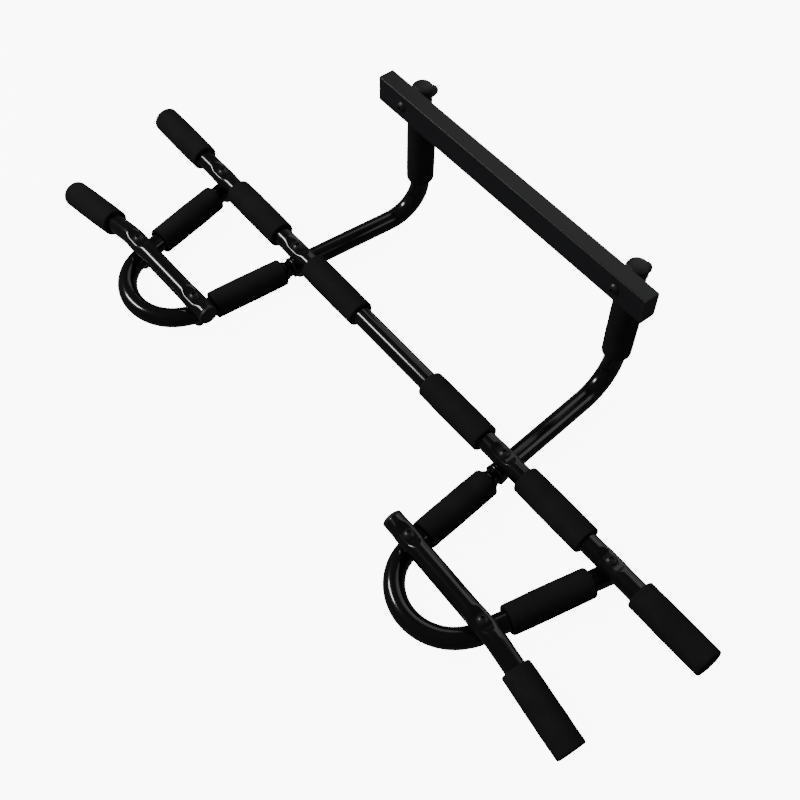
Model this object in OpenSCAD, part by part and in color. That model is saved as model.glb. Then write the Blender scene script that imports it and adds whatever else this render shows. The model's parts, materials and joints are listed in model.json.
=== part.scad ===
// Doorway pull-up bar: a long main bar bolted across two front loops and two hook arms.
// The arms pass under the door head and carry a flat trim bar that rests on the door trim.
// The origin is on the floor under the middle of the whole bar; +X runs along the main bar,
// +Y points through the doorway towards the trim bar, and +Z is up.
// Lengths along the main bar are a chain from its middle outwards, so each value can change by itself.

/* [Tubes] */
// Outside diameter of the steel tubes
tube_d = 24; // [20:1:28]
// Wall of the steel tubes
tube_wall = 1.5; // [1.2:0.1:2]
// Depth of the pressed flats under bolt heads and washers
press_depth = 3; // [2:0.5:3.5]
// Length of the level part of a pressed flat
press_flat = 18; // [17:1:20]
// Length of a pressed flat with its two ramps
press_len = 38; // [34:1:42]
// Depth of the seat where one tube lies on another
seat_depth = 1; // [0.5:0.1:1.2]

/* [Main bar] */
// Bare length in the middle, between the two centre grips
centre_gap = 130; // [100:1:180]
// Length of each grip on the main bar, apart from the end grips
grip_len = 98; // [82:1:118]
// Distance from a centre grip to the inner bolt
inner_margin = 31; // [26:1:45]
// Distance from the outer bolt to the end grip
end_margin = 43; // [28:0.5:60]
// Length of each closed end grip
end_grip_len = 98; // [82:1:118]

/* [Front loops] */
// Distance from the main bar to the start of the front bend, square to the main bar
reach = 140; // [114:1:168]
// Radius of the front bend, to the middle of the tube
loop_r = 62; // [52.5:0.5:76]
// Outward splay of the outer leg, in degrees
leg_splay = 12.5; // [8:0.5:14]
// Distance from the main bar to the outer leg grip
outer_grip_start = 21; // [20:1:26]
// Distance from the outer leg grip to the end of the front bend
outer_grip_end = 31; // [26:1:38]
// Distance from the inner leg grip to the start of the front bend
inner_grip_end = 17; // [15:1:28]
// Turn of the front bend up to the front bar's inner bolt, in degrees
bolt_turn = 4.5; // [0:0.5:5.5]

/* [Front bars] */
// Overhang of each front bar past its inner bolt
front_overhang = 27; // [24:1:36]
// Distance from the outer bolt to the start of the handle bend
bend_start = 10; // [10:1:20]
// Radius of the handle bend
handle_bend_r = 90; // [70:5:120]
// Downward slope of the handles, in degrees
handle_droop = 10; // [4:0.5:15]
// Forward slope of the handles from their own front bar, in degrees
handle_forward = 3.5; // [1:0.5:5]
// Distance from the end of the handle bend to its grip
handle_margin = 29; // [15:1:40]
// Length of each closed handle grip
handle_grip_len = 96; // [80:1:116]

/* [Hook arms] */
// Inward slope of the arms and the inner legs, in degrees
arm_toe = 5; // [2:0.5:7]
// Distance from the main bar to the face of the trim bar
wall_depth = 151; // [130:1:181]
// Height of the trim bar's underside above the middle of the main bar
hook_height = 145; // [120:1:175]
// Radius of the upward bend, to the middle of the tube
arm_bend_r = 48; // [40:1:58]
// Reach of the arm's socket in front of the main bar
socket_reach = 12.5; // [12.5:0.5:15]
// Outside diameter of the rim of the socket, past the tube's own
rim_extra = 1.5; // [1:0.25:2]
// Length of the socket's rim
rim_len = 5; // [4:0.5:6]
// Reduced neck of the loop between the socket and the loop's own full tube
neck_len = 7; // [6:0.5:12]
// Bare full tube between that neck and the inner leg grip
leg_bare = 5.5; // [4:0.5:9]
// How far the loop's reduced end goes into the arm past the bolt
spigot_past = 24; // [21:1:32]
// Gap from the top of the arm's bend to the post pad
pad_start = 6; // [4:1:12]
// Gap from the post pad to the trim bar's underside
pad_gap = 12; // [6:1:20]

/* [Trim bar] */
// Height of the trim bar
trim_h = 35; // [29:1:42]
// Thickness of the trim bar, through the doorway
trim_t = 21; // [17:1:25]
// Length of the trim bar past the middle of each post
trim_overhang = 42; // [32:1:50]
// Thickness of the trim bar's end caps
end_cap_t = 3; // [2:0.5:4]
// Corner radius of the rectangular tube
trim_corner = 1.5; // [1:0.25:2]

/* [Foam grips] */
// Outside diameter of the foam grips
grip_d = 34; // [30:1:38]
// Foam over the closed end of a tube
grip_cap = 4; // [3:0.5:6]

/* [Fasteners and caps] */
// Thread diameter of the bolts
bolt_d = 8; // [6:1:8]
// Diameter of the button head
head_d = 14; // [12:0.5:15]
// Height of the button head
head_h = 4.4; // [3:0.1:5]
// Width across flats of the hex key socket
key_af = 5; // [4:0.5:5]
// Depth of the hex key socket
key_depth = 2.4; // [2:0.2:2.6]
// Washer diameter
washer_d = 15.5; // [14:0.5:16]
// Washer thickness
washer_t = 1.6; // [1.2:0.1:2]
// Width across flats of the dome nuts
nut_af = 13; // [12:0.5:14]
// Height of the hexagon of the dome nuts
nut_hex_h = 6; // [5:0.5:7]
// Height of the dome above the hexagon
nut_dome_h = 6; // [5:0.5:7]
// Wall of the post caps outside the tube
cap_wall = 1.4; // [1:0.1:2]
// Height of the post cap's skirt
cap_skirt = 8; // [6:1:12]
// Height of the post cap's dome
cap_dome = 5; // [4:0.5:7]
// Thickness of the flange of the tube plugs
plug_flange = 3; // [2:0.5:4]
// Depth of the tube plugs inside the tube
plug_depth = 12; // [10:1:14]

/* [Clearances] */
// Gap all round between pieces that fit one in the other
fit_gap = 0.15; // [0.1:0.05:0.25]
// Gap all round between a bolt and its hole
bolt_gap = 0.3; // [0.2:0.1:0.5]
// Gap all round between the loop's reduced end and the arm
spigot_gap = 0.3; // [0.2:0.1:0.4]

/* [Hidden] */
$fn = 96;
cut_extra = 1;

// A bent tube is two stretches that lap: the outer one is larger in radius by lap_swell
lap_angle = 1;
lap_swell = 0.05;

// Colours
steel_c = [0.05, 0.05, 0.055];
trim_c = [0.11, 0.11, 0.12];
foam_c = [0.03, 0.03, 0.03];
plastic_c = [0.09, 0.09, 0.10];
bolt_c = [0.16, 0.16, 0.17];

tube_r = tube_d / 2;
bore_r = tube_r - tube_wall;
grip_r = grip_d / 2;
hole_r = bolt_d / 2 + bolt_gap;
spigot_r = bore_r - spigot_gap;
rim_r = tube_r + rim_extra / 2;

// Plan of the right side, measured from the middle of the main bar. The left side mirrors it.
inner_x = centre_gap / 2 + grip_len + inner_margin;
bend_in = [inner_x + reach * tan(arm_toe), -reach];
bend_c = bend_in + loop_r * [cos(arm_toe), sin(arm_toe)];
front_in = bend_c - loop_r * [cos(arm_toe + bolt_turn), sin(arm_toe + bolt_turn)];
front_out = bend_c + loop_r * [cos(leg_splay), -sin(leg_splay)];
outer_x = front_out[0] - front_out[1] * tan(leg_splay);
inner_leg = reach / cos(arm_toe);
outer_leg = -front_out[1] / cos(leg_splay);
loop_turn = 180 - arm_toe - leg_splay;

// Main bar stations
outer_grip_x = (inner_x + outer_x) / 2 - grip_len / 2;
end_grip_x = outer_x + end_margin;
bar_half = end_grip_x + end_grip_len;
tube_half = bar_half - grip_cap;

// Front bar: span between its bolts, its slope in plan and its handle
front_span = norm(front_out - front_in);
front_yaw = atan2(front_out[1] - front_in[1], front_out[0] - front_in[0]);
bend_angle = acos(cos(handle_droop) * cos(handle_forward));
bend_roll = atan2(-sin(handle_droop), -cos(handle_droop) * sin(handle_forward));

// Hook arm
arm_run = (wall_depth + trim_t + tube_r - seat_depth) / cos(arm_toe);
post_x = inner_x - arm_run * sin(arm_toe);
post_y = arm_run * cos(arm_toe);
trim_half = post_x + trim_overhang;

// Heights: the lowest points are the tips of the dome nuts
lower_drop = tube_d - seat_depth;
nut_h = nut_hex_h + nut_dome_h;
bar_z = lower_drop + tube_r - press_depth + washer_t + nut_h;
lower_z = bar_z - lower_drop;
trim_z = bar_z + hook_height;
post_top = trim_z + trim_h - cap_dome - cap_wall;
bolt_z = trim_z + trim_h / 2;

// The bar stands with its box centred on the origin
front_y = bend_c[1] - loop_r - tube_r;
rear_y = post_y + tube_r - press_depth + washer_t + nut_h;
bar_y = -(front_y + rear_y) / 2;

// ---- placing ----

// Children on the right side, or mirrored to the left
module side(s) {
    if (s > 0) children();
    else mirror([1, 0, 0]) children();
}

module both_sides() {
    for (s = [-1, 1]) side(s) children();
}

// Middle of the main bar
module at_bar() {
    translate([0, bar_y, bar_z]) children();
}

// Start of the inner leg, under the inner bolt: +X runs forwards along the leg, and -X along the arm
module at_arm() {
    translate([inner_x, bar_y, lower_z]) rotate([0, 0, arm_toe - 90]) children();
}

// Start of the outer leg, under the outer bolt: +X runs forwards along the leg
module at_outer_leg() {
    translate([outer_x, bar_y, lower_z]) rotate([0, 0, -90 - leg_splay]) children();
}

// Inner bolt of the front bar: +X runs outwards along the bar
module at_front() {
    translate([front_in[0], bar_y + front_in[1], bar_z]) rotate([0, 0, front_yaw]) children();
}

// Start of the handle bend, rolled so that the bend turns towards its own +Y
module at_handle_bend() {
    at_front() translate([front_span + bend_start, 0, 0]) rotate([bend_roll, 0, 0]) children();
}

// End of the handle bend: +X runs outwards along the handle
module at_handle() {
    at_handle_bend() after_bend(handle_bend_r, bend_angle) children();
}

// Front end of the inner leg, where the loop's bend starts
module at_loop_bend() {
    at_arm() translate([inner_leg, 0, 0]) children();
}

// Post, at the height of the lower tubes
module at_post() {
    translate([post_x, bar_y + post_y, lower_z]) children();
}

// Bolt through a post and the trim bar: +Z points forwards, from the post's middle
module at_trim_bolt() {
    translate([post_x, bar_y + post_y, bolt_z]) rotate([90, 0, 0]) children();
}

// The four crossings on the main bar
module at_main_crossings() {
    at_bar() for (x = [-outer_x, -inner_x, inner_x, outer_x]) translate([x, 0, 0]) children();
}

// The four crossings on the front bars
module at_front_crossings() {
    both_sides() at_front() for (x = [0, front_span]) translate([x, 0, 0]) children();
}

// ---- shared shapes ----

// Round rod along +X
module rod_x(r, x0, x1) {
    translate([x0, 0, 0]) rotate([0, 90, 0]) cylinder(r = r, h = x1 - x0);
}

// Frame at the end of a bend that starts at the origin along +X and turns towards +Y
module after_bend(bend_radius, angle) {
    translate([0, bend_radius, 0]) rotate([0, 0, angle]) translate([0, -bend_radius, 0]) children();
}

// That bend as a solid of radius r
module bend(r, bend_radius, angle) {
    translate([0, bend_radius, 0]) rotate([0, 0, -90])
        rotate_extrude(angle = angle) translate([bend_radius, 0]) circle(r = r);
}

// Foam sleeve along +X
module sleeve(x0, x1) {
    difference() {
        rod_x(grip_r, x0, x1);
        rod_x(tube_r + fit_gap, x0 - cut_extra, x1 + cut_extra);
    }
}

// Foam sleeve along +X with a closed outer end
module closed_sleeve(x0, x1) {
    difference() {
        rod_x(grip_r, x0, x1);
        rod_x(tube_r + fit_gap, x0 - cut_extra, x1 - grip_cap + fit_gap);
    }
}

// Space above a pressed flat with ramps, on a tube along X. Skin moves it inwards by that much.
module press(skin) {
    low = tube_r - press_depth - skin;
    high = tube_r + cut_extra;
    ramp = (press_len - press_flat) / 2 / press_depth * (high - low);
    rotate([90, 0, 0]) linear_extrude(height = 3 * tube_d, center = true)
        polygon([
            [-press_flat / 2 - skin / 2, low],
            [press_flat / 2 + skin / 2, low],
            [press_flat / 2 + skin / 2 + ramp, high],
            [-press_flat / 2 - skin / 2 - ramp, high]
        ]);
}

// Space of a tube that crosses under this one at an angle in plan
module seat(angle, skin) {
    translate([0, 0, -lower_drop]) rotate([0, 0, angle])
        rod_x(tube_r + fit_gap + skin, -2 * tube_d, 2 * tube_d);
}

// Bolt hole along Z
module bolt_hole() {
    translate([0, 0, -2 * tube_d]) cylinder(r = hole_r, h = 4 * tube_d);
}

// Button head bolt: +Z is out of the head, and the head sits on z = 0
module button_bolt(shank) {
    dome_r = (pow(head_d / 2, 2) + pow(head_h, 2)) / (2 * head_h);
    difference() {
        union() {
            intersection() {
                cylinder(d = head_d, h = head_h);
                translate([0, 0, head_h - dome_r]) sphere(r = dome_r);
            }
            translate([0, 0, -shank]) cylinder(d = bolt_d, h = shank + cut_extra);
        }
        translate([0, 0, head_h - key_depth])
            cylinder(d = key_af / cos(30), h = key_depth + cut_extra, $fn = 6);
    }
}

// Washer that hangs below z = 0
module washer() {
    difference() {
        translate([0, 0, -washer_t]) cylinder(d = washer_d, h = washer_t);
        translate([0, 0, -washer_t - cut_extra])
            cylinder(r = hole_r, h = washer_t + 2 * cut_extra);
    }
}

// Dome nut that hangs below z = 0, with a blind bore
module dome_nut() {
    dome_base_r = nut_af / 2;
    dome_r = (pow(dome_base_r, 2) + pow(nut_dome_h, 2)) / (2 * nut_dome_h);
    difference() {
        union() {
            translate([0, 0, -nut_hex_h]) cylinder(d = nut_af / cos(30), h = nut_hex_h, $fn = 6);
            intersection() {
                translate([0, 0, -nut_h]) cylinder(r = dome_base_r, h = nut_dome_h + cut_extra);
                translate([0, 0, dome_r - nut_h]) sphere(r = dome_r);
            }
        }
        translate([0, 0, -nut_hex_h - cut_extra])
            cylinder(d = bolt_d + 2 * fit_gap, h = nut_hex_h + 2 * cut_extra);
    }
}

// Plug for the end of a tube that faces -X at the origin, with a ribbed stem
module tube_plug() {
    rod_x(tube_r, -plug_flange, 0);
    rod_x(bore_r - 2 * fit_gap, 0, plug_depth);
    for (k = [1:3]) rod_x(bore_r - fit_gap, k * plug_depth / 4, k * plug_depth / 4 + 1);
}

// ---- steel ----

module main_bar() {
    color(steel_c) at_bar() difference() {
        rod_x(tube_r, -tube_half, tube_half);
        difference() {
            rod_x(bore_r, -tube_half - cut_extra, tube_half + cut_extra);
            both_sides() crossing_marks(tube_wall);
        }
        both_sides() {
            crossing_marks(0);
            translate([inner_x, 0, 0]) bolt_hole();
            translate([outer_x, 0, 0]) bolt_hole();
        }
    }
}

// Pressed flats and seats of the main bar's two right crossings
module crossing_marks(skin) {
    translate([inner_x, 0, 0]) {
        press(skin);
        seat(arm_toe - 90, skin);
    }
    translate([outer_x, 0, 0]) {
        press(skin);
        seat(-90 - leg_splay, skin);
    }
}

// Path of the loop as a solid of radius r, with its inner end reduced to end_r up to the shoulder
module loop_path(r, end_r, shoulder, extra) {
    neck = inner_leg - socket_reach - neck_len;
    at_loop_bend() {
        rod_x(end_r, -inner_leg - spigot_past - extra, shoulder + cut_extra - neck);
        rod_x(r, shoulder - neck, 0);
        bend(r, loop_r, loop_turn / 2 + lap_angle);
        after_bend(loop_r, loop_turn) {
            mirror([1, 0, 0]) bend(r + lap_swell, loop_r, loop_turn / 2);
            rod_x(r + lap_swell, 0, outer_leg + tube_r + extra);
        }
    }
}

// Pressed flats on the undersides of the loop
module loop_presses(skin, spigot_skin) {
    at_arm() rotate([180, 0, 0]) press(spigot_skin);
    at_outer_leg() rotate([180, 0, 0]) press(skin);
    at_front() translate([0, 0, -lower_drop]) rotate([180, 0, 0]) rotate([0, 0, 90]) press(skin);
    at_front() translate([front_span, 0, -lower_drop]) rotate([180, 0, 0]) rotate([0, 0, 90])
        press(skin);
}

// The loop as a pressed tube, before its bolt holes
module loop_blank() {
    difference() {
        loop_path(tube_r, spigot_r, 0, 0);
        difference() {
            loop_path(bore_r, spigot_r - tube_wall, 2 * tube_wall, cut_extra);
            loop_presses(tube_wall, 2 * tube_wall + spigot_gap);
        }
        loop_presses(0, tube_wall + spigot_gap);
    }
}

module loop_tube(s) {
    color(steel_c) side(s) difference() {
        loop_blank();
        union() {
            at_arm() bolt_hole();
            at_outer_leg() bolt_hole();
            at_front() translate([0, 0, -lower_drop]) bolt_hole();
            at_front() translate([front_span, 0, -lower_drop]) bolt_hole();
        }
    }
}

// Path of the arm as a solid of radius r; the post ends at its own top
module arm_path(r, extra) {
    at_post() rotate([0, 0, arm_toe - 90]) {
        rod_x(r, arm_bend_r, arm_run + socket_reach + extra);
        translate([arm_bend_r, 0, 0]) rotate([90, 0, 180]) bend(r, arm_bend_r, 90);
        translate([0, 0, arm_bend_r]) cylinder(r = r, h = post_top - lower_z - arm_bend_r + extra);
    }
}

// Pressed flats of the arm: under the inner bolt, and before and behind the post
module arm_presses(skin) {
    at_arm() rotate([180, 0, 0]) press(skin);
    at_trim_bolt() rotate([180, 0, 0]) rotate([0, 0, 90]) press(skin);
}

module arm_tube(s) {
    color(steel_c) side(s) difference() {
        union() {
            arm_path(tube_r, 0);
            at_arm() rod_x(rim_r, socket_reach - rim_len, socket_reach);
        }
        difference() {
            arm_path(bore_r, cut_extra);
            arm_presses(tube_wall);
        }
        arm_presses(0);
        post_seat();
        at_arm() bolt_hole();
        at_trim_bolt() bolt_hole();
    }
}

// Level seat on the post for the trim bar's back
module post_seat() {
    at_post() translate([-tube_d, -tube_r - cut_extra, trim_z - lower_z])
        cube([2 * tube_d, seat_depth + cut_extra, trim_h]);
}

// Front bar and handle as a solid of radius r
module front_path(r, extra) {
    at_handle_bend() {
        rod_x(r, -front_overhang - front_span - bend_start - extra, 0);
        bend(r, handle_bend_r, bend_angle + lap_angle);
    }
    at_handle() rod_x(r + lap_swell, 0, handle_margin + handle_grip_len - grip_cap + extra);
}

// Pressed flats and seats of a front bar's two crossings
module front_marks(skin) {
    press(skin);
    translate([front_span, 0, 0]) press(skin);
    seat(arm_toe + bolt_turn - 90 - front_yaw, skin);
    translate([front_span, 0, 0]) seat(-90 - leg_splay - front_yaw, skin);
}

module front_bar(s) {
    color(steel_c) side(s) difference() {
        front_path(tube_r, 0);
        difference() {
            front_path(bore_r, cut_extra);
            at_front() front_marks(tube_wall);
        }
        at_front() {
            front_marks(0);
            bolt_hole();
            translate([front_span, 0, 0]) bolt_hole();
        }
    }
}

// Rounded rectangle of the trim bar's section, as a solid between x0 and x1
module trim_section(inset, x0, x1) {
    w = trim_t - 2 * inset;
    h = trim_h - 2 * inset;
    r = max(trim_corner - inset, 0.2);
    translate([x0, bar_y + wall_depth + trim_t / 2, trim_z + trim_h / 2]) rotate([90, 0, 90])
        linear_extrude(height = x1 - x0) union() {
            square([w - 2 * r, h], center = true);
            square([w, h - 2 * r], center = true);
            for (a = [-1, 1], b = [-1, 1]) translate([a * (w / 2 - r), b * (h / 2 - r)]) circle(r = r);
        }
}

module trim_bar() {
    color(trim_c) difference() {
        trim_section(0, -trim_half + end_cap_t, trim_half - end_cap_t);
        trim_section(tube_wall, -trim_half, trim_half);
        both_sides() at_trim_bolt() bolt_hole();
    }
}

// ---- plastic ----

module trim_end_cap(s) {
    color(plastic_c) side(s) {
        trim_section(0, trim_half - end_cap_t, trim_half);
        trim_section(tube_wall + fit_gap, trim_half - end_cap_t - plug_depth, trim_half - end_cap_t);
    }
}

// Dome cap over the top of a post
module post_cap(s) {
    r = tube_r + cap_wall;
    dome_r = (pow(r, 2) + pow(cap_dome, 2)) / (2 * cap_dome);
    color(plastic_c) side(s) at_post() translate([0, 0, post_top - lower_z]) difference() {
        union() {
            translate([0, 0, -cap_skirt]) cylinder(r = r, h = cap_skirt + cap_wall);
            intersection() {
                cylinder(r = r, h = cap_wall + cap_dome);
                translate([0, 0, cap_wall + cap_dome - dome_r]) sphere(r = dome_r);
            }
        }
        translate([0, 0, -cap_skirt - cut_extra])
            cylinder(r = tube_r + fit_gap, h = cap_skirt + cut_extra + fit_gap);
        translate([-tube_d, -tube_d - tube_r + seat_depth, -cap_skirt - cut_extra])
            cube([2 * tube_d, tube_d + fit_gap, cap_skirt + trim_h]);
    }
}

// Plug in the rear end of the loop's outer leg
module loop_end_plug(s) {
    color(plastic_c) side(s) at_outer_leg() translate([-tube_r, 0, 0]) tube_plug();
}

// Plug in the inner end of a front bar
module front_bar_plug(s) {
    color(plastic_c) side(s) at_front() translate([-front_overhang, 0, 0]) tube_plug();
}

// ---- foam ----

module centre_grip(s) {
    color(foam_c) side(s) at_bar() sleeve(centre_gap / 2, centre_gap / 2 + grip_len);
}

module outer_grip(s) {
    color(foam_c) side(s) at_bar() sleeve(outer_grip_x, outer_grip_x + grip_len);
}

module end_grip(s) {
    color(foam_c) side(s) at_bar() closed_sleeve(end_grip_x, bar_half);
}

module outer_leg_grip(s) {
    color(foam_c) side(s) at_outer_leg()
        sleeve(outer_grip_start, outer_leg - outer_grip_end);
}

module inner_leg_grip(s) {
    color(foam_c) side(s) at_arm()
        sleeve(socket_reach + neck_len + leg_bare, inner_leg - inner_grip_end);
}

module handle_grip(s) {
    color(foam_c) side(s) at_handle() closed_sleeve(handle_margin, handle_margin + handle_grip_len);
}

module post_pad(s) {
    pad_z = arm_bend_r + pad_start;
    color(foam_c) side(s) at_post() rotate([0, -90, 0])
        sleeve(pad_z, trim_z - pad_gap - lower_z);
}

// ---- fasteners ----

main_grip = lower_drop + 2 * (tube_r - press_depth);
trim_grip = wall_depth + trim_t - seat_depth;

module main_bolts() {
    color(bolt_c) at_main_crossings() translate([0, 0, tube_r - press_depth])
        button_bolt(main_grip + washer_t + nut_hex_h);
}

module main_washers() {
    color(bolt_c) at_main_crossings() translate([0, 0, press_depth - tube_r - lower_drop]) washer();
}

module main_dome_nuts() {
    color(bolt_c) at_main_crossings()
        translate([0, 0, press_depth - tube_r - lower_drop - washer_t]) dome_nut();
}

module front_bolts() {
    color(bolt_c) at_front_crossings() translate([0, 0, tube_r - press_depth])
        button_bolt(main_grip + washer_t + nut_hex_h);
}

module front_washers() {
    color(bolt_c) at_front_crossings() translate([0, 0, press_depth - tube_r - lower_drop]) washer();
}

module front_dome_nuts() {
    color(bolt_c) at_front_crossings()
        translate([0, 0, press_depth - tube_r - lower_drop - washer_t]) dome_nut();
}

module trim_bolts() {
    color(bolt_c) both_sides() at_trim_bolt() translate([0, 0, tube_r - seat_depth + trim_t])
        button_bolt(trim_t + tube_d - seat_depth - press_depth + washer_t + nut_hex_h);
}

module trim_washers() {
    color(bolt_c) both_sides() at_trim_bolt() translate([0, 0, press_depth - tube_r]) washer();
}

module trim_dome_nuts() {
    color(bolt_c) both_sides() at_trim_bolt()
        translate([0, 0, press_depth - tube_r - washer_t]) dome_nut();
}

main_bar();
loop_tube(-1);  // loop_tube_left
loop_tube(1);  // loop_tube_right
arm_tube(-1);  // arm_tube_left
arm_tube(1);  // arm_tube_right
front_bar(-1);  // front_bar_left
front_bar(1);  // front_bar_right
trim_bar();
trim_end_cap(-1);  // trim_end_cap_left
trim_end_cap(1);  // trim_end_cap_right
post_cap(-1);  // post_cap_left
post_cap(1);  // post_cap_right
loop_end_plug(-1);  // loop_end_plug_left
loop_end_plug(1);  // loop_end_plug_right
front_bar_plug(-1);  // front_bar_plug_left
front_bar_plug(1);  // front_bar_plug_right
centre_grip(-1);  // centre_grip_left
centre_grip(1);  // centre_grip_right
outer_grip(-1);  // outer_grip_left
outer_grip(1);  // outer_grip_right
end_grip(-1);  // end_grip_left
end_grip(1);  // end_grip_right
outer_leg_grip(-1);  // outer_leg_grip_left
outer_leg_grip(1);  // outer_leg_grip_right
inner_leg_grip(-1);  // inner_leg_grip_left
inner_leg_grip(1);  // inner_leg_grip_right
handle_grip(-1);  // handle_grip_left
handle_grip(1);  // handle_grip_right
post_pad(-1);  // post_pad_left
post_pad(1);  // post_pad_right
main_bolts();
main_washers();
main_dome_nuts();
front_bolts();
front_washers();
front_dome_nuts();
trim_bolts();
trim_washers();
trim_dome_nuts();
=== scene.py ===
# %% [markdown]
# # A doorway pull-up bar, finished piece by piece
# The bar is a bolted frame of gloss black steel tubes with foam grips. The engineering model gives every piece
# its place and its box. This lesson builds the visible skins around it: pressed tubes, moulded foam and caps.
# Everything is in metres, with X along the main bar, Y through the doorway and Z up.

import json
import math

import bpy
from mathutils import Matrix, Vector, noise

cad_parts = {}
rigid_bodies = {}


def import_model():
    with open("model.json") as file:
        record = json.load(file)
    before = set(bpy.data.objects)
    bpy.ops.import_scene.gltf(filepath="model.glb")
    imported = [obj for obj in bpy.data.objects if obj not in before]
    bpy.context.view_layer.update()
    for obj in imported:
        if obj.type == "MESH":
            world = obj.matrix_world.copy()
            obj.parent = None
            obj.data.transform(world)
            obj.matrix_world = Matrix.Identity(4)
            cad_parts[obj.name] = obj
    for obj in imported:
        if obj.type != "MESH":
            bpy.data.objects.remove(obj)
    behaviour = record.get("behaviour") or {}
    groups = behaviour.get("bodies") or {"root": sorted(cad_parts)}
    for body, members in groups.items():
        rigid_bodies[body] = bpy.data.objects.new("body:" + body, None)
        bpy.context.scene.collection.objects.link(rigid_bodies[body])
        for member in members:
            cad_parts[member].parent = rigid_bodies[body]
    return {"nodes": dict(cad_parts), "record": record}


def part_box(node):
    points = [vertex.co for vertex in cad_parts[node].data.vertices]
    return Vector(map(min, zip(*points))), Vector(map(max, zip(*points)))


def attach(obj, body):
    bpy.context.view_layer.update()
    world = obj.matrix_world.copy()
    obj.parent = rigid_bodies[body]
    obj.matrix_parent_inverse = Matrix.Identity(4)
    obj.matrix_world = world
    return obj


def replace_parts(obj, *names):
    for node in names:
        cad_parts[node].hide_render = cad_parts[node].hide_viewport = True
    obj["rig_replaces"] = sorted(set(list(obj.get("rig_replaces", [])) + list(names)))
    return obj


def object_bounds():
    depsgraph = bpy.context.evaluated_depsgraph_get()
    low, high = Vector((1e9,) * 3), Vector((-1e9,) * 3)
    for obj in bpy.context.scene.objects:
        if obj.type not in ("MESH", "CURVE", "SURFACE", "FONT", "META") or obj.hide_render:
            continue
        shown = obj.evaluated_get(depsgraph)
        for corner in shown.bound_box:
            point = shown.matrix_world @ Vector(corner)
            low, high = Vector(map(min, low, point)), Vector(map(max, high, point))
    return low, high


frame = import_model()
cad_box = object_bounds()
MM = 0.001
print("frame loaded:", len(frame["nodes"]), "nodes, box", [tuple(round(v, 4) for v in c) for c in cad_box])

# %% [markdown]
# ## Reading places off the frame
# A group node, such as the four main bolts, is one mesh with several separate solids. Welding its corners by
# place and walking from corner to corner finds each solid, and its middle is where a bolt goes. A sleeve's own
# axis is the long direction of its corners, so a slanted grip needs no angle to be typed in.


# %% Split a node into its solids
def solids(node):
    """Corner lists of the separate solids of a CAD node, from left to right."""
    mesh = frame["nodes"][node].data
    welded = {}
    key = [welded.setdefault(tuple(round(c, 5) for c in v.co), len(welded)) for v in mesh.vertices]
    parent = list(range(len(welded)))

    def root(i):
        while parent[i] != i:
            parent[i] = parent[parent[i]]
            i = parent[i]
        return i

    for edge in mesh.edges:
        parent[root(key[edge.vertices[0]])] = root(key[edge.vertices[1]])
    groups = {}
    for place, i in welded.items():
        groups.setdefault(root(i), []).append(Vector(place))
    return sorted(groups.values(), key=lambda corners: sum(c.x for c in corners) / len(corners))


def middle(corners):
    """Middle of the box round some corners."""
    low = Vector(min(c[i] for c in corners) for i in range(3))
    high = Vector(max(c[i] for c in corners) for i in range(3))
    return (low + high) / 2


def box_middle(node):
    low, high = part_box(node)
    return (low + high) / 2


MAIN_BOLTS = [middle(c) for c in solids("main_bolts")]
FRONT_BOLTS = [middle(c) for c in solids("front_bolts")]
TRIM_BOLTS = [middle(c) for c in solids("trim_bolts")]
print("bolts found:", len(MAIN_BOLTS), len(FRONT_BOLTS), len(TRIM_BOLTS))


# %% Find the axis of a sleeve
def long_axis(node):
    """Ends of a straight round piece's axis: the inner end first, the end further from the middle plane last."""
    corners = [c for group in solids(node) for c in group]
    centre = box_middle(node)
    way = max((c - centre for c in corners), key=lambda d: d.length).normalized()
    for _ in range(12):
        pull = Vector((0, 0, 0))
        for c in corners:
            pull += (c - centre) * (c - centre).dot(way)
        way = pull.normalized()
    reach = [(c - centre).dot(way) for c in corners]
    ends = [centre + way * min(reach), centre + way * max(reach)]
    return sorted(ends, key=lambda p: (round(abs(p.x), 4), p.z))


TUBE_R = (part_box("main_bar")[1].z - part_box("main_bar")[0].z) / 2
GRIP_R = (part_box("end_grip_left")[1].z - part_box("end_grip_left")[0].z) / 2
UPPER_Z = box_middle("end_grip_left").z
LOWER_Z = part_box("loop_tube_left")[0].z + TUBE_R
BAR_Y = box_middle("end_grip_left").y
print(f"tube radius {TUBE_R / MM:.1f} mm, foam radius {GRIP_R / MM:.1f} mm, bar height {UPPER_Z / MM:.1f} mm")

# %% [markdown]
# ## Camera
# The bar is seen from above its right front corner, with a normal lens. The camera aims at a point a little to
# the right of the main bar's middle, so it is placed by an aim point, a view direction, a sideways direction
# and a distance.


# %% Place the camera
LENS, SENSOR = 53.58, 36
CAMERA_DISTANCE = 1.403


def place_camera():
    aim = Vector((0.0431, BAR_Y - 0.0261, UPPER_Z - 0.0347))
    look = Vector((-0.44327, 0.35989, -0.82097)).normalized()
    right = Vector((0.62397, 0.78143, 0.00565)).normalized()
    up = right.cross(look)
    data = bpy.data.cameras.new("camera")
    data.lens, data.sensor_width = LENS, SENSOR
    camera = bpy.data.objects.new("camera", data)
    bpy.context.scene.collection.objects.link(camera)
    turn = Matrix((right, up, -look)).transposed()
    camera.matrix_world = Matrix.Translation(aim - look * CAMERA_DISTANCE) @ turn.to_4x4()
    bpy.context.scene.camera = camera
    return camera


camera = place_camera()
print("camera at", [round(v, 3) for v in camera.location])

# %% [markdown]
# ## Floor and light
# Gloss black shows its shape only by what it mirrors. One long soft box on the front left draws the thin white
# line along the tubes, and three dim ones at the rear give the soft sheen on their far sides. Two fills light
# the matt foam but aren't mirrored. The floor glows nearly white; it takes faint shadows, and the bar neither
# mirrors it nor is lit by it, so the blacks stay black.


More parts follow.
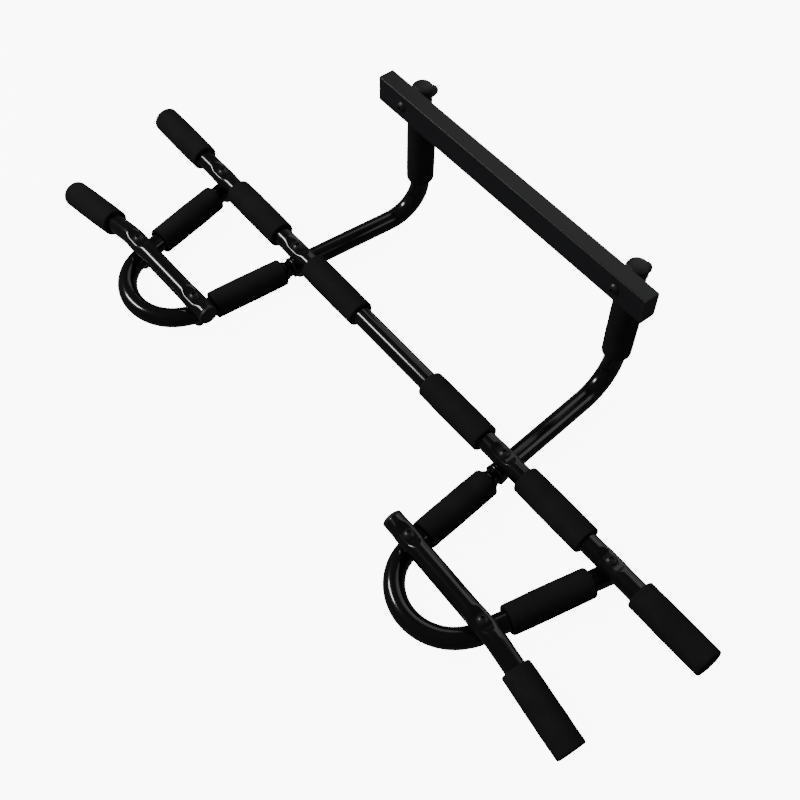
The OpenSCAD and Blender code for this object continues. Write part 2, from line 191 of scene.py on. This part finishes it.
# %% Floor, world and soft boxes
FLOOR_HALF = 30.0
FLOOR_GLOW = 9.0


def build_floor(white):
    size = FLOOR_HALF
    mesh = bpy.data.meshes.new("floor")
    corners = [(-size, -size, 0), (size, -size, 0), (size, size, 0), (-size, size, 0)]
    mesh.from_pydata(corners, [], [(0, 1, 2, 3)])
    floor = bpy.data.objects.new("floor", mesh)
    bpy.context.scene.collection.objects.link(floor)
    floor.location.z = cad_box[0].z - 0.0002
    material = bpy.data.materials.new("pale_floor")
    material.use_nodes = True
    shader = material.node_tree.nodes["Principled BSDF"]
    shader.inputs["Base Color"].default_value = (white, white, white, 1)
    shader.inputs["Roughness"].default_value = 0.9
    shader.inputs["Specular IOR Level"].default_value = 0.1
    shader.inputs["Emission Color"].default_value = (1, 1, 1, 1)
    shader.inputs["Emission Strength"].default_value = FLOOR_GLOW
    mesh.materials.append(material)
    floor.visible_glossy = False
    floor.visible_diffuse = False
    return floor


def soft_box(name, place, aim, size, watts):
    """A rectangular lamp whose long side runs along X, like the main bar."""
    data = bpy.data.lights.new(name, "AREA")
    data.shape = "RECTANGLE"
    data.size, data.size_y = size
    data.energy = watts
    lamp = bpy.data.objects.new(name, data)
    back = (Vector(place) - Vector(aim)).normalized()
    wide = (Vector((1, 0, 0)) - back * back.x).normalized()
    turn = Matrix((wide, back.cross(wide), back)).transposed()
    lamp.matrix_world = Matrix.Translation(place) @ turn.to_4x4()
    bpy.context.scene.collection.objects.link(lamp)
    return lamp


world = bpy.data.worlds.new("studio")
world.use_nodes = True
world.node_tree.nodes["Background"].inputs["Color"].default_value = (1, 1, 1, 1)
world.node_tree.nodes["Background"].inputs["Strength"].default_value = 0.07
bpy.context.scene.world = world
floor = build_floor(0.9)
soft_box("key_left", (-1.6, -1.3, 1.75), (-0.15, -0.1, 0.05), (1.0, 0.35), 45)
soft_box("rear_left", (-0.5, 1.35, 1.6), (0.1, 0, 0.05), (1.9, 1.1), 6)
soft_box("rear_right", (1.5, 1.1, 1.2), (0.2, 0, 0.05), (0.9, 0.9), 3)
soft_box("rear_wall", (0, 2.6, 1.0), (0, 0, 0.3), (4.5, 2.0), 14)
for fill in (
    soft_box("overhead_fill", (0.3, -0.9, 2.5), (0, 0, 0.05), (2.4, 2.4), 15),
    soft_box("front_fill", (0.8, -2.2, 0.7), (0, 0, 0.1), (2.2, 1.2), 14),
):
    fill.visible_glossy = False
print("floor, world, four soft boxes and two fills are set")

# %% [markdown]
# ## Writing finishes as sums
# A finish is a small graph of nodes. One class wraps a socket so that Python's own + - * build the Math nodes,
# and one method adds any other node. Colours go through Mix nodes, since a Math node turns a colour grey.


# %% The socket and finish helpers
class Wire:
    """A node's output that can be used in Python sums."""

    def __init__(self, finish, socket):
        self.finish, self.socket = finish, socket

    def sum_with(self, operation, first, second):
        return self.finish.node("ShaderNodeMath", {"operation": operation}, {0: first, 1: second})

    def __add__(self, other):
        return self.sum_with("ADD", self, other)

    def __sub__(self, other):
        return self.sum_with("SUBTRACT", self, other)

    def __mul__(self, other):
        return self.sum_with("MULTIPLY", self, other)

    def __rsub__(self, other):
        return self.sum_with("SUBTRACT", other, self)

    __radd__ = __add__
    __rmul__ = __mul__


class Finish:
    """A material whose nodes are added one call at a time."""

    def __init__(self, name):
        self.material = bpy.data.materials.new(name)
        self.material.use_nodes = True
        self.tree = self.material.node_tree
        self.shader = self.tree.nodes["Principled BSDF"]
        self.place = self.node("ShaderNodeTexCoord", {}, {}, "Object")

    def put(self, socket, value):
        if isinstance(value, Wire):
            self.tree.links.new(value.socket, socket)
        else:
            socket.default_value = value

    def node(self, kind, settings, values, out=0):
        made = self.tree.nodes.new(kind)
        for name, value in settings.items():
            if name == "stops":
                for element, (at, colour) in zip(made.color_ramp.elements, value):
                    element.position, element.color = at, colour
            else:
                setattr(made, name, value)
        for name, value in values.items():
            self.put(made.inputs[name], value)
        return Wire(self, made.outputs[out])

    def cloud(self, scale, detail=3.0, rough=0.55):
        values = {"Vector": self.place, "Scale": scale, "Detail": detail, "Roughness": rough}
        return self.node("ShaderNodeTexNoise", {}, values)

    def cells(self, scale):
        return self.node("ShaderNodeTexVoronoi", {}, {"Vector": self.place, "Scale": scale})

    def ramp(self, value, low, high):
        """0 below low, 1 above high, smooth between."""
        settings = {"interpolation_type": "SMOOTHSTEP"}
        values = {"Value": value, "From Min": low, "From Max": high}
        return self.node("ShaderNodeMapRange", settings, values)

    def blend(self, mask, first, second):
        settings = {"data_type": "RGBA"}
        return self.node("ShaderNodeMix", settings, {0: mask, 6: first, 7: second}, 2)

    def bump(self, height, strength, depth):
        return self.node("ShaderNodeBump", {}, {"Height": height, "Strength": strength, "Distance": depth})

    def edges(self):
        """1 on outward edges, 0 elsewhere."""
        return self.ramp(self.node("ShaderNodeNewGeometry", {}, {}, "Pointiness"), 0.515, 0.56)

    def surface(self, **values):
        for name, value in values.items():
            self.put(self.shader.inputs[name.replace("_", " ")], value)
        return self.material


def grey(v, blue=0.0):
    return (v, v, v + blue, 1)


# %% [markdown]
# ## The five finishes
# - Tubes: gloss black powder coat. It flows out almost flat, with a faint orange peel and light handling marks.
# - Trim bar: the same coat, satin, a touch blue from above.
# - Grips: closed-cell foam, nearly black, with tiny cells, painted shade in the pits and a slightly uneven,
#   dusty skin.
# - Caps and plugs: moulded plastic with a fine spark-eroded grain.
# - Bolts: black zinc, a dark metal with lighter spots.


# %% Gloss black tube coat
def tube_coat():
    f = Finish("gloss_black_coat")
    peel = f.cloud(420, 2.0)
    drift = f.cloud(22, 3.0)
    scratch = f.ramp(f.cloud(150, 6.0, 0.7), 0.62, 0.74)
    rubbed = f.edges() * f.ramp(f.cloud(60), 0.4, 0.65)
    colour = f.blend(drift, grey(0.0028), grey(0.0050, 0.0004))
    colour = f.blend(rubbed * 0.35, colour, grey(0.03))
    return f.surface(
        Base_Color=colour,
        Roughness=0.13 + 0.07 * drift + 0.10 * scratch + 0.1 * rubbed,
        Specular_IOR_Level=0.42,
        Coat_Weight=0.25,
        Coat_Roughness=0.06,
        Normal=f.bump(peel, 0.05, 0.0003),
    )


# %% Satin trim bar coat
def trim_coat():
    f = Finish("satin_black_coat")
    peel = f.cloud(520, 2.0)
    drift = f.cloud(14, 4.0)
    marks = f.ramp(f.cloud(90, 7.0, 0.75), 0.6, 0.78)
    colour = f.blend(drift, grey(0.0090, 0.0012), grey(0.0120, 0.0020))
    return f.surface(
        Base_Color=colour,
        Roughness=0.40 + 0.03 * drift + 0.08 * marks,
        Specular_IOR_Level=0.30,
        Normal=f.bump(peel, 0.08, 0.0003),
    )


# %% Foam, plastic and bolt finishes
def foam_skin():
    f = Finish("closed_cell_foam")
    cells = f.cells(1500)
    # The pore mask makes the pits in the bump and, in the colour, their painted shade.
    pore_pits_and_shade = f.ramp(f.cells(620), 0.05, 0.22)
    skin = f.cloud(260, 5.0, 0.65)
    dust = f.ramp(f.cloud(30, 4.0), 0.35, 0.75)
    colour = f.blend(dust, grey(0.008), grey(0.012))
    # Painted shade: the pore pits are coloured darker than the foam around them.
    colour = f.blend(pore_pits_and_shade, grey(0.003), colour)
    return f.surface(
        Base_Color=colour,
        Roughness=0.86 + 0.1 * dust,
        Specular_IOR_Level=0.14,
        Normal=f.bump(cells * 0.5 + skin * 0.8 + pore_pits_and_shade * 0.4, 0.2, 0.0005),
    )


def cap_plastic():
    f = Finish("moulded_black_plastic")
    grain = f.cloud(1300, 3.0, 0.7)
    drift = f.cloud(40, 3.0)
    colour = f.blend(drift, grey(0.010), grey(0.016, 0.0012))
    return f.surface(
        Base_Color=colour,
        Roughness=0.42 + 0.12 * drift + 0.06 * grain,
        Specular_IOR_Level=0.3,
        Normal=f.bump(grain, 0.12, 0.0003),
    )


def bolt_zinc():
    f = Finish("black_zinc")
    spots = f.cloud(700, 4.0, 0.6)
    colour = f.blend(spots, grey(0.02), grey(0.05))
    return f.surface(
        Base_Color=colour,
        Metallic=0.75,
        Roughness=0.34 + 0.14 * spots,
        Normal=f.bump(spots, 0.08, 0.0002),
    )


FINISHES = {
    "tube_paint": tube_coat(),
    "trim_paint": trim_coat(),
    "grip_foam": foam_skin(),
    "cap_plastic": cap_plastic(),
    "bolt_metal": bolt_zinc(),
}
print("finishes:", ", ".join(FINISHES))

# %% [markdown]
# ## Two ways to make a round piece
# A grip, a cap and a plug are turned shapes: a half outline spun about an axis. A tube is a ring of corners
# carried along a centre line. Both are written as stacks of rings, so one function can skin them.


# %% Skin a stack of rings
def add_piece(name, rings, finish, replaced, close=(True, True)):
    """A smooth mesh through equal rings of corners. It rides the frame and stands for one CAD node."""
    sides = len(rings[0])
    corners = [c for ring in rings for c in ring]
    faces = []
    for i in range(len(rings) - 1):
        for k in range(sides):
            near, far = i * sides, (i + 1) * sides
            after = (k + 1) % sides
            faces.append((near + k, near + after, far + after, far + k))
    for end, wanted in zip((0, len(rings) - 1), close):
        if wanted:
            centre = len(corners)
            corners.append(sum(rings[end], Vector((0, 0, 0))) / sides)
            for k in range(sides):
                pair = (end * sides + k, end * sides + (k + 1) % sides)
                faces.append((pair[1], pair[0], centre) if end == 0 else (pair[0], pair[1], centre))
    mesh = bpy.data.meshes.new(name)
    mesh.from_pydata(corners, [], faces)
    mesh.polygons.foreach_set("use_smooth", [True] * len(faces))
    mesh.update()
    piece = bpy.data.objects.new(name, mesh)
    bpy.context.scene.collection.objects.link(piece)
    mesh.materials.append(FINISHES[finish])
    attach(piece, "root")
    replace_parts(piece, replaced)
    return piece


def spun_rings(start, way, outline, sides, push=None):
    """Rings of a turned shape. The outline is (distance along, radius) pairs; push moves a corner outwards."""
    side = way.orthogonal().normalized()
    other = way.cross(side)
    rings = []
    for along, radius in outline:
        ring = []
        for k in range(sides):
            turn = 2 * math.pi * k / sides
            out = side * math.cos(turn) + other * math.sin(turn)
            extra = push(start + way * along + out * radius) if push else 0
            ring.append(start + way * along + out * (radius + extra))
        rings.append(ring)
    return rings


def arc(centre_along, centre_radius, bend, first, last, steps):
    """Outline points on a quarter round: angle 0 points outwards, 90 points along."""
    points = []
    for k in range(steps + 1):
        a = math.radians(first + (last - first) * k / steps)
        points.append((centre_along + bend * math.sin(a), centre_radius + bend * math.cos(a)))
    return points


print("round pieces can be spun or swept")

# %% [markdown]
# ## Foam grips
# A grip is a foam sleeve cut from moulded stock and pushed over the tube. Its ends are a little rounded and dip
# where the foam grips the steel, and its skin is never quite even. The outline below has all of that, and a slow
# noise moves the skin by a few tenths of a millimetre. The closed ones end in a soft, rounded nose.

# %% Foam outline and build
FOAM_SIDES = 72
FOAM_BORE = TUBE_R - 0.2 * MM
FOAM_R = GRIP_R + 0.4 * MM
FOAM_EDGE = 2.0 * MM
FOAM_NOSE = 2.6 * MM
FOAM_STEP = 3.0 * MM


def foam_wave(place):
    slow = noise.noise(place * 55.0)
    fine = noise.noise(place * 210.0 + Vector((3, 7, 1)))
    return (0.30 * slow + 0.10 * fine) * MM - 0.15 * MM


def foam_body(length, first, last):
    """Straight stretch of the outline, very slightly fuller in the middle."""
    count = max(2, round((last - first) / FOAM_STEP))
    points = []
    for k in range(1, count):
        along = first + (last - first) * k / count
        swell = 0.35 * MM * math.sin(math.pi * along / length)
        points.append((along, FOAM_R + swell))
    return points


def open_end(at, sign):
    """Bore edge, dished face and rounded rim of an open end; sign is 1 at the start and -1 at the far end."""
    rim = arc(at + sign * FOAM_EDGE, FOAM_R - FOAM_EDGE, FOAM_EDGE, -90, 0, 6)
    if sign < 0:
        rim = arc(at - FOAM_EDGE, FOAM_R - FOAM_EDGE, FOAM_EDGE, 0, 90, 6)
    dish = [
        (at + sign * 6 * MM, FOAM_BORE),
        (at + sign * 0.9 * MM, FOAM_BORE),
        (at + sign * 0.4 * MM, FOAM_BORE + 0.7 * MM),
    ]
    return dish + rim if sign > 0 else rim + dish[::-1]


def foam_grip(node, closed):
    start, end = long_axis(node)
    length = (end - start).length
    outline = open_end(0, 1)
    if closed:
        outline += foam_body(length, FOAM_EDGE, length - FOAM_NOSE)
        outline += arc(length - FOAM_NOSE, FOAM_R - FOAM_NOSE, FOAM_NOSE, 0, 80, 10)
        flat = FOAM_R - FOAM_NOSE
        outline += [(length + 0.25 * MM * (1 - r * r), flat * r) for r in (0.85, 0.6, 0.35, 0.12)]
    else:
        outline += foam_body(length, FOAM_EDGE, length - FOAM_EDGE)
        outline += open_end(length, -1)
    rings = spun_rings(start, (end - start).normalized(), outline, FOAM_SIDES, foam_wave)
    piece = add_piece(node + "_foam", rings, "grip_foam", node, close=(False, closed))
    return piece


CLOSED_GRIPS = ("end_grip", "handle_grip")
OPEN_GRIPS = ("centre_grip", "outer_grip", "outer_leg_grip", "inner_leg_grip", "post_pad")
for side_name in ("left", "right"):
    for kind in CLOSED_GRIPS + OPEN_GRIPS:
        made = foam_grip(f"{kind}_{side_name}", kind in CLOSED_GRIPS)
    print(side_name, "grips made, the last has", len(made.data.vertices), "corners")

# %% [markdown]
# ## Steel tubes
# The tubes are drawn steel, bent cold and pressed flat in a die where a bolt goes through. The centre line runs
# through a few corner points with true arcs between the straights. Pressing is done on the finished skin: every
# corner above the pressed level is brought down to it with a soft blend, and the tube widens a little sideways.


# %% Centre line with true arcs
def centre_line(points, bend_radius, step=2 * MM):
    """Evenly spaced places along a line through points, with each inner corner rounded."""
    line = [points[0]]
    for before, corner, after in zip(points, points[1:], points[2:]):
        back, ahead = (before - corner).normalized(), (after - corner).normalized()
        half = back.angle(ahead) / 2
        centre = corner + (back + ahead).normalized() * (bend_radius / math.sin(half))
        first = corner + back * (bend_radius / math.tan(half)) - centre
        axis = (-back).cross(ahead).normalized()
        turn = math.pi - 2 * half
        count = max(4, round(turn * bend_radius / step))
        line += [centre + Matrix.Rotation(turn * k / count, 3, axis) @ first for k in range(count + 1)]
    line.append(points[-1])
    places = [line[0]]
    for a, b in zip(line, line[1:]):
        count = max(1, round((b - a).length / step))
        places += [a.lerp(b, k / count) for k in range(1, count + 1)]
    return places


# %% Press a stretch of tube
PRESS_START = 0.4 * MM
PRESS_BLEND = 1.6 * MM
PRESS_SPREAD = 0.05


def soft_min(a, b, blend):
    share = min(1.0, max(0.0, 0.5 + 0.5 * (b - a) / blend))
    return b * (1 - share) + a * share - blend * share * (1 - share)


def smooth(x):
    x = min(1.0, max(0.0, x))
    return x * x * (3 - 2 * x)


def press(ring, place, out, along, depth, flat, length):
    """Brings the part of a ring that stands above the pressed level down to it."""
    for i, corner in enumerate(ring):
        offset = corner - place
        run = abs(offset.dot(along))
        if run > length / 2:
            continue
        amount = smooth((length / 2 - run) / (length / 2 - flat / 2))
        high = offset.dot(out)
        if high < 0:
            continue
        ceiling = TUBE_R + PRESS_START - (depth + PRESS_START) * amount
        level = soft_min(high, ceiling, PRESS_BLEND * amount + 1e-6)
        sideways = offset - out * high - along * offset.dot(along)
        ring[i] = corner + out * (level - high) + sideways * PRESS_SPREAD * amount


# %% Sweep a ring along a centre line
TUBE_SIDES = 56
TUBE_WALL = 1.5 * MM
EDGE = 0.35 * MM
MOUTH_DEPTH = 12 * MM


def tube_rings(line, radius_at):
    """Rings square to the line. The ring's zero mark is carried along without twisting."""
    rings = []
    way = (line[1] - line[0]).normalized()
    mark = way.cross(Vector((0, 0, 1)) if abs(way.z) < 0.9 else Vector((0, 1, 0))).normalized()
    run = 0.0
    for i, place in enumerate(line):
        if i:
            run += (place - line[i - 1]).length
        near = (line[min(i + 1, len(line) - 1)] - line[max(i - 1, 0)]).normalized()
        mark = (mark - near * mark.dot(near)).normalized()
        other = near.cross(mark)
        radius = radius_at(run)
        turns = [2 * math.pi * k / TUBE_SIDES for k in range(TUBE_SIDES)]
        rings.append([place + (mark * math.cos(t) + other * math.sin(t)) * radius for t in turns])
    return rings


def steel_tube(node, line, presses, radius_at=lambda run: TUBE_R, mouth=False):
    """A tube skin with pressed stretches. A mouth is an open first end that shows the wall."""
    rings = tube_rings(line, radius_at)
    for ring in rings:
        for place, out, along, depth, flat, length in presses:
            if (ring[0] - place).length < length:
                press(ring, place, out, along, depth, flat, length)
    if mouth:
        lip = []
        centre = line[0]
        way = (line[1] - line[0]).normalized()
        steps = ((MOUTH_DEPTH, TUBE_WALL), (EDGE, TUBE_WALL), (0, TUBE_WALL - EDGE), (0, EDGE))
        for inset, shrink in steps:
            scale = 1 - shrink / radius_at(0)
            lip.append([centre + (c - centre) * scale + way * inset for c in rings[0]])
        rings = lip + rings
    return add_piece(node + "_steel", rings, "tube_paint", node)


UP, REAR = Vector((0, 0, 1)), Vector((0, 1, 0))
PRESS = (3.0 * MM, 15 * MM, 42 * MM)
SEAT = (1.0 * MM, 8 * MM, 26 * MM)
TRIM_SEAT = (1.0 * MM, 35 * MM, 50 * MM)
print("press depth, flat and length in mm:", [round(v / MM, 1) for v in PRESS])

# %% Main bar
X_WAY = Vector((1, 0, 0))


def at_height(place, z):
    return Vector((place.x, place.y, z))


def build_main_bar():
    low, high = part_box("main_bar")
    line = centre_line([Vector((low.x, BAR_Y, UPPER_Z)), Vector((high.x, BAR_Y, UPPER_Z))], 0)
    presses = []
    for bolt in MAIN_BOLTS:
        place = at_height(bolt, UPPER_Z)
        presses += [(place, UP, X_WAY, *PRESS), (place, -UP, X_WAY, *SEAT)]
    return steel_tube("main_bar", line, presses)


main_bar = build_main_bar()
print("main bar:", len(main_bar.data.vertices), "corners")

# %% [markdown]
# ## Loops and arms
# Each side has one front loop. Its outer leg ends under the main bar with a plug, and its inner leg is swaged
# down and slides into the arm, which runs back, turns up and becomes a post. The bolts and the grips tell where
# the legs run: the bend is the one arc that touches both legs and meets the outer one at its front bolt.

# %% Loops
SOCKET_REACH = 12.5 * MM
NECK_REACH = 24 * MM
SHOULDER = 19.5 * MM
NECK_R = TUBE_R - TUBE_WALL - 0.3 * MM


def side_points(sign):
    """Main and front bolts of one side at the lower tubes' height: inner pair, outer pair."""
    half = sorted((b for b in MAIN_BOLTS if b.x * sign > 0), key=lambda b: abs(b.x))
    front = sorted((b for b in FRONT_BOLTS if b.x * sign > 0), key=lambda b: abs(b.x))
    return [at_height(p, LOWER_Z) for p in (half[0], front[0], half[1], front[1])]


def meeting(a, b, c, d):
    """Where the line a-b meets the line c-d, seen from above."""
    u, v = b - a, d - c
    share = ((c.x - a.x) * v.y - (c.y - a.y) * v.x) / (u.x * v.y - u.y * v.x)
    return a + u * share


def inner_way(side_name):
    """Direction of the inner leg and its arm, forwards, read from the grip on the leg."""
    start, end = long_axis(f"inner_leg_grip_{side_name}")
    return (end - start).normalized() * (1 if end.y < start.y else -1)


def build_loop(side_name, sign):
    inner, inner_front, outer, outer_front = side_points(sign)
    leg = inner_way(side_name)
    outer_leg = (outer_front - outer).normalized()
    corner = meeting(inner, inner + leg, outer, outer_front)
    half = (-leg).angle(-outer_leg) / 2
    bend_radius = (corner - outer_front).length * math.tan(half)
    start = inner - leg * NECK_REACH
    line = centre_line([start, corner, outer - outer_leg * TUBE_R], bend_radius)
    shoulder_run = NECK_REACH + SHOULDER

    def radius_at(run):
        return NECK_R + (TUBE_R - NECK_R) * smooth((run - shoulder_run + 1 * MM) / (2 * MM))

    presses = []
    for place, along in ((outer, outer_leg), (inner_front, leg), (outer_front, outer_leg)):
        presses.append((place, -UP, along, *PRESS))
    return steel_tube(f"loop_tube_{side_name}", line, presses, radius_at), bend_radius


# %% Arms
ARM_BEND_R = 48 * MM
RIM_LENGTH = 5 * MM
RIM_EXTRA = 0.75 * MM


def build_arm(side_name, sign):
    inner = side_points(sign)[0]
    leg = inner_way(side_name)
    post = box_middle(f"post_pad_{side_name}")
    foot = at_height(post, LOWER_Z)
    top = at_height(post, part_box(f"arm_tube_{side_name}")[1].z)
    line = centre_line([inner + leg * SOCKET_REACH, foot, top], ARM_BEND_R)

    def radius_at(run):
        return TUBE_R + RIM_EXTRA * (1 - smooth((run - RIM_LENGTH * 0.6) / RIM_LENGTH))

    bolt = Vector((post.x, post.y, [b for b in TRIM_BOLTS if b.x * sign > 0][0].z))
    presses = [(inner, -UP, leg, *PRESS), (bolt, REAR, UP, *PRESS), (bolt, -REAR, UP, *TRIM_SEAT)]
    return steel_tube(f"arm_tube_{side_name}", line, presses, radius_at, mouth=True)


for side_name, sign in (("left", -1), ("right", 1)):
    loop, bend_radius = build_loop(side_name, sign)
    arm = build_arm(side_name, sign)
    print(f"{side_name}: loop bend {bend_radius / MM:.1f} mm, arm {len(arm.data.vertices)} corners")

# %% [markdown]
# ## Front bars
# A front bar lies across the loop on two bolts. Past the outer bolt it bends down and a little forward into the
# handle. The handle's axis is read from its foam, and the bend is the arc that joins it to the bar.

# %% Front bars
HANDLE_BEND_R = 90 * MM


def build_front_bar(side_name, sign):
    front = sorted((b for b in FRONT_BOLTS if b.x * sign > 0), key=lambda b: abs(b.x))
    inner, outer = (at_height(b, UPPER_Z) for b in front)
    way = (outer - inner).normalized()
    grip_start, grip_end = long_axis(f"handle_grip_{side_name}")
    handle = (grip_end - grip_start).normalized()
    run = (grip_start - inner).cross(handle).dot(way.cross(handle)) / way.cross(handle).length_squared
    corner = inner + way * run
    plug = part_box(f"front_bar_plug_{side_name}")
    tail = min(abs(plug[0].x), abs(plug[1].x)) + 3 * MM
    start = inner - way * ((abs(inner.x) - tail) / abs(way.x))
    line = centre_line([start, corner, grip_end - handle * 4 * MM], HANDLE_BEND_R)
    presses = []
    for place in (inner, outer):
        presses += [(place, UP, way, *PRESS), (place, -UP, way, *SEAT)]
    return steel_tube(f"front_bar_{side_name}", line, presses)


for side_name, sign in (("left", -1), ("right", 1)):
    bar = build_front_bar(side_name, sign)
    print(f"front bar {side_name}: {len(bar.data.vertices)} corners")

# %% [markdown]
# ## Post caps
# A post cap is a soft dome that slips over the tube, with a small lip at its skirt. It is a turned shape too.

# %% Post caps
def build_post_cap(side_name):
    node = f"post_cap_{side_name}"
    low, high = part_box(node)
    centre = at_height(box_middle(f"post_pad_{side_name}"), low.z)
    radius = (high.x - low.x) / 2
    height = high.z - low.z
    shoulder = height - 6 * MM
    outline = [(2 * MM, TUBE_R), (0, TUBE_R + 0.2 * MM), (0, radius - 0.3 * MM), (0.5 * MM, radius)]
    outline += [(1.6 * MM, radius), (2.2 * MM, radius - 0.35 * MM), (shoulder, radius - 0.35 * MM)]
    for k in range(1, 13):
        turn = math.radians(90 * k / 12.6)
        rise = (height - shoulder) * math.sin(turn)
        outline.append((shoulder + rise, (radius - 0.35 * MM) * math.cos(turn) ** 0.62))
    rings = spun_rings(centre, UP, outline, 64)
    return add_piece(node + "_dome", rings, "cap_plastic", node)


for side_name in ("left", "right"):
    cap = build_post_cap(side_name)
print("post caps made,", len(cap.data.vertices), "corners each")

# %% [markdown]
# ## Pieces kept from the engineering model
# Bolts, washers, dome nuts, the trim bar, its end caps and the ribbed plugs already have their true shapes, so
# they only take their finishes.

# %% Finish the kept pieces
slots = {s["node"]: s["material_slot"] for s in frame["record"]["subparts"]}
replaced = {node for piece in bpy.data.objects for node in piece.get("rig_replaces", [])}
kept = []
for node, piece in frame["nodes"].items():
    if node in replaced:
        continue
    piece.data.materials.clear()
    piece.data.materials.append(FINISHES[slots[node]])
    kept.append(node)
print("kept:", ", ".join(sorted(kept)))
